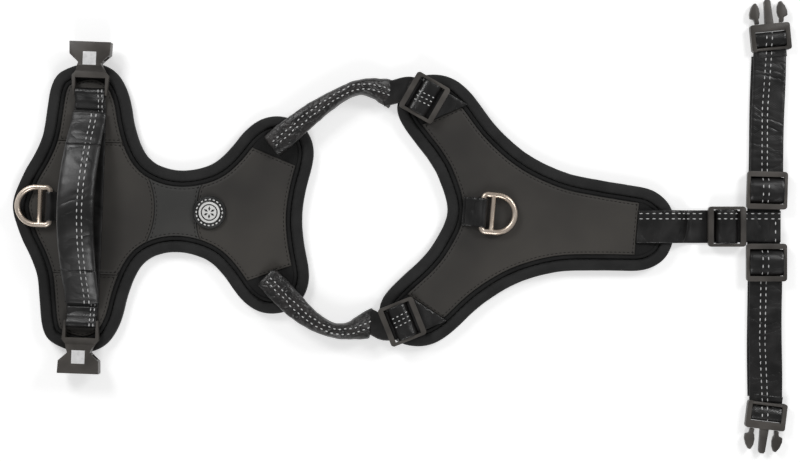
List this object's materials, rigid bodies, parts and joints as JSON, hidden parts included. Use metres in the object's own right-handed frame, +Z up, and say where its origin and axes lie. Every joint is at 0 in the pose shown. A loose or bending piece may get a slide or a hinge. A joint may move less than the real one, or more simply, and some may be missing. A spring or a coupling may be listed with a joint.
{
  "type": "no pull dog harness",
  "caption": "Dog harness laid flat: padded back panel with handle and buckle sockets, neck straps, padded chest panel and a girth strap with side-release clips.",
  "frame": {"origin": "middle of the back panel at its waist, on the lining face it lies on", "axes": "+X from the rear leash ring towards the girth strap, +Y towards the upper clip, +Z up from the surface the harness lies on"},
  "size_m": [0.5897, 0.3438, 0.038],
  "materials": {
    "back_lining": "breathable mesh lining",
    "back_foam": "fabric-faced soft foam",
    "back_binding": "fine knitted edge binding",
    "yoke_cover": "smooth coated fabric over foam",
    "upper_wing_cover": "smooth coated fabric over foam",
    "lower_wing_cover": "smooth coated fabric over foam",
    "saddle_cover": "smooth coated fabric over foam",
    "front_cover": "smooth coated fabric over foam",
    "badge": "moulded rubber with white raised marks",
    "rear_ring_tab": "glossy woven nylon with reflective stitching",
    "rear_lead_ring": "champagne-tinted satin plating",
    "buckle_strap": "glossy woven nylon with reflective stitching",
    "handle_grip": "glossy woven nylon with reflective stitching",
    "upper_handle_end": "glossy woven nylon with reflective stitching",
    "lower_handle_end": "glossy woven nylon with reflective stitching",
    "upper_socket": "fine textured moulding",
    "lower_socket": "fine textured moulding",
    "upper_reflector": "reflective sheet",
    "lower_reflector": "reflective sheet",
    "upper_neck_sleeve": "glossy woven nylon with reflective stitching",
    "lower_neck_sleeve": "glossy woven nylon with reflective stitching",
    "upper_neck_webbing": "glossy woven nylon with reflective stitching",
    "lower_neck_webbing": "glossy woven nylon with reflective stitching",
    "upper_neck_slider": "fine textured moulding",
    "lower_neck_slider": "fine textured moulding",
    "upper_neck_fold": "glossy woven nylon with reflective stitching",
    "lower_neck_fold": "glossy woven nylon with reflective stitching",
    "chest_lining": "breathable mesh lining",
    "chest_foam": "fabric-faced soft foam",
    "chest_binding": "fine knitted edge binding",
    "chest_cover": "smooth coated fabric over foam",
    "front_ring_tab": "glossy woven nylon with reflective stitching",
    "front_lead_ring": "champagne-tinted satin plating",
    "belly_webbing": "glossy woven nylon with reflective stitching",
    "belly_slider": "fine textured moulding",
    "belly_fold": "glossy woven nylon with reflective stitching",
    "belly_end_webbing": "glossy woven nylon with reflective stitching",
    "girth_middle": "glossy woven nylon with reflective stitching",
    "upper_girth_webbing": "glossy woven nylon with reflective stitching",
    "lower_girth_webbing": "glossy woven nylon with reflective stitching",
    "upper_girth_slider": "fine textured moulding",
    "lower_girth_slider": "fine textured moulding",
    "upper_girth_fold": "glossy woven nylon with reflective stitching",
    "lower_girth_fold": "glossy woven nylon with reflective stitching",
    "upper_clip_webbing": "glossy woven nylon with reflective stitching",
    "lower_clip_webbing": "glossy woven nylon with reflective stitching",
    "upper_clip": "fine textured moulding",
    "lower_clip": "fine textured moulding",
    "upper_left_latch": "fine textured moulding",
    "upper_right_latch": "fine textured moulding",
    "lower_left_latch": "fine textured moulding",
    "lower_right_latch": "fine textured moulding"
  },
  "bodies": {
    "back": {"back_lining": "back_lining", "back_foam": "back_foam", "back_binding": "back_binding", "yoke_cover": "yoke_cover", "upper_wing_cover": "upper_wing_cover", "lower_wing_cover": "lower_wing_cover", "saddle_cover": "saddle_cover", "front_cover": "front_cover", "badge": "badge", "rear_ring_tab": "rear_ring_tab", "buckle_strap": "buckle_strap", "upper_handle_end": "upper_handle_end", "lower_handle_end": "lower_handle_end", "upper_neck_sleeve": "upper_neck_sleeve", "lower_neck_sleeve": "lower_neck_sleeve"},
    "rear_ring": {"rear_lead_ring": "rear_lead_ring"},
    "handle": {"handle_grip": "handle_grip"},
    "upper_socket": {"upper_socket": "upper_socket", "upper_reflector": "upper_reflector"},
    "lower_socket": {"lower_socket": "lower_socket", "lower_reflector": "lower_reflector"},
    "chest": {"upper_neck_webbing": "upper_neck_webbing", "lower_neck_webbing": "lower_neck_webbing", "upper_neck_slider": "upper_neck_slider", "lower_neck_slider": "lower_neck_slider", "upper_neck_fold": "upper_neck_fold", "lower_neck_fold": "lower_neck_fold", "chest_lining": "chest_lining", "chest_foam": "chest_foam", "chest_binding": "chest_binding", "chest_cover": "chest_cover", "front_ring_tab": "front_ring_tab", "belly_webbing": "belly_webbing"},
    "front_ring": {"front_lead_ring": "front_lead_ring"},
    "belly_slider": {"belly_slider": "belly_slider", "belly_fold": "belly_fold"},
    "girth_hub": {"belly_end_webbing": "belly_end_webbing", "girth_middle": "girth_middle"},
    "upper_strap": {"upper_girth_webbing": "upper_girth_webbing"},
    "lower_strap": {"lower_girth_webbing": "lower_girth_webbing"},
    "upper_slider": {"upper_girth_slider": "upper_girth_slider", "upper_girth_fold": "upper_girth_fold"},
    "lower_slider": {"lower_girth_slider": "lower_girth_slider", "lower_girth_fold": "lower_girth_fold"},
    "upper_clip": {"upper_clip_webbing": "upper_clip_webbing", "upper_clip": "upper_clip"},
    "lower_clip": {"lower_clip_webbing": "lower_clip_webbing", "lower_clip": "lower_clip"},
    "upper_left_latch": {"upper_left_latch": "upper_left_latch"},
    "upper_right_latch": {"upper_right_latch": "upper_right_latch"},
    "lower_left_latch": {"lower_left_latch": "lower_left_latch"},
    "lower_right_latch": {"lower_right_latch": "lower_right_latch"}
  },
  "joints": [
    {"name": "rear_ring_flip", "type": "hinge", "parent": "back", "child": "rear_ring", "pos_m": [-0.09893, 0.0038, 0.0106], "axis": [0.0384, 0.9993, 0], "range_deg": [0, 90]},
    {"name": "handle_swing", "type": "hinge", "parent": "back", "child": "handle", "pos_m": [-0.07195, 0.00276, 0.01], "axis": [0.0384, 0.9993, 0], "range_deg": [-4, 30]},
    {"name": "upper_socket_tilt", "type": "hinge", "parent": "back", "child": "upper_socket", "pos_m": [-0.06861, 0.0897, 0.0103], "axis": [0.9993, -0.0384, 0], "range_deg": [0, 60]},
    {"name": "lower_socket_tilt", "type": "hinge", "parent": "back", "child": "lower_socket", "pos_m": [-0.07529, -0.08417, 0.0103], "axis": [-0.9993, 0.0384, 0], "range_deg": [0, 60]},
    {"name": "neck_fold", "type": "hinge", "parent": "back", "child": "chest", "pos_m": [0.15119, 0.00366, 0.0095], "axis": [-0.0872, -0.9962, 0], "range_deg": [0, 90]},
    {"name": "front_ring_flip", "type": "hinge", "parent": "chest", "child": "front_ring", "pos_m": [0.22707, -0.00097, 0.0106], "axis": [-0.0872, -0.9962, 0], "range_deg": [0, 150]},
    {"name": "girth_hub_slide", "type": "slide", "parent": "chest", "child": "girth_hub", "axis": [-1, 0, 0], "range_m": [0, 0.006]},
    {"name": "belly_slider_slide", "type": "slide", "parent": "chest", "child": "belly_slider", "axis": [-1, 0, 0], "range_m": [0, 0.012]},
    {"name": "upper_strap_fold", "type": "hinge", "parent": "girth_hub", "child": "upper_strap", "pos_m": [0.44204, 0.00113, 0.0036], "axis": [0.9997, -0.0262, 0], "range_deg": [0, 90]},
    {"name": "lower_strap_fold", "type": "hinge", "parent": "girth_hub", "child": "lower_strap", "pos_m": [0.44204, -0.0238, 0.0036], "axis": [-1, 0, 0], "range_deg": [0, 90]},
    {"name": "upper_clip_slide", "type": "slide", "parent": "upper_strap", "child": "upper_clip", "axis": [0.0262, 0.9997, 0], "range_m": [0, 0.0275]},
    {"name": "upper_slider_slide", "type": "slide", "parent": "upper_strap", "child": "upper_slider", "axis": [0.0262, 0.9997, 0], "range_m": [0, 0.055]},
    {"name": "lower_clip_slide", "type": "slide", "parent": "lower_strap", "child": "lower_clip", "axis": [0, -1, 0], "range_m": [0, 0.0275]},
    {"name": "lower_slider_slide", "type": "slide", "parent": "lower_strap", "child": "lower_slider", "axis": [0, -1, 0], "range_m": [0, 0.055]},
    {"name": "upper_left_latch_flex", "type": "hinge", "parent": "upper_clip", "child": "upper_left_latch", "pos_m": [0.43537, 0.14165, 0.0036], "axis": [0, 0, -1], "range_deg": [0, 8], "stiffness_Nm_per_rad": 0.05},
    {"name": "upper_right_latch_flex", "type": "hinge", "parent": "upper_clip", "child": "upper_right_latch", "pos_m": [0.45369, 0.14342, 0.0036], "axis": [0, 0, 1], "range_deg": [0, 8], "stiffness_Nm_per_rad": 0.05},
    {"name": "lower_left_latch_flex", "type": "hinge", "parent": "lower_clip", "child": "lower_left_latch", "pos_m": [0.43169, -0.1641, 0.0036], "axis": [0, 0, 1], "range_deg": [0, 8], "stiffness_Nm_per_rad": 0.05},
    {"name": "lower_right_latch_flex", "type": "hinge", "parent": "lower_clip", "child": "lower_right_latch", "pos_m": [0.44996, -0.16635, 0.0036], "axis": [0, 0, -1], "range_deg": [0, 8], "stiffness_Nm_per_rad": 0.05}
  ],
  "couplings": [
    {"joint": "belly_slider_slide", "follows": "girth_hub_slide", "ratio": 2},
    {"joint": "upper_slider_slide", "follows": "upper_clip_slide", "ratio": 2},
    {"joint": "lower_slider_slide", "follows": "lower_clip_slide", "ratio": 2}
  ]
}
